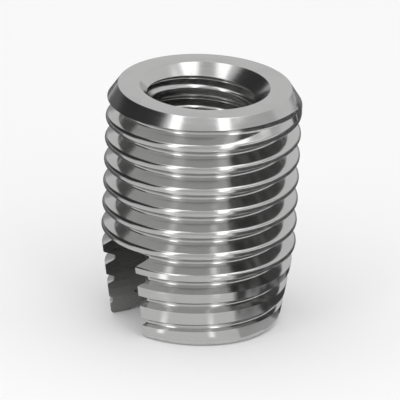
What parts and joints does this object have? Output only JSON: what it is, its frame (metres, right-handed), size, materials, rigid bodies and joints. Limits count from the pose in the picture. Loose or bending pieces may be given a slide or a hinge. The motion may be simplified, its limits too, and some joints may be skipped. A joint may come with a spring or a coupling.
{
  "type": "threaded insert",
  "caption": "Self-tapping threaded insert of stainless steel, with a countersunk threaded bore and a cutting slot across its tapered end.",
  "frame": {"origin": "on the axis, in the plane of the slotted end on which the insert stands", "axes": "+Z along the axis towards the countersunk mouth, X along the cutting slot"},
  "size_m": [0.0064, 0.0064, 0.008],
  "materials": {
    "stainless_steel": "bright turned stainless steel, uncoated"
  },
  "bodies": {
    "root": {"threaded_insert": "stainless_steel"}
  },
  "joints": []
}
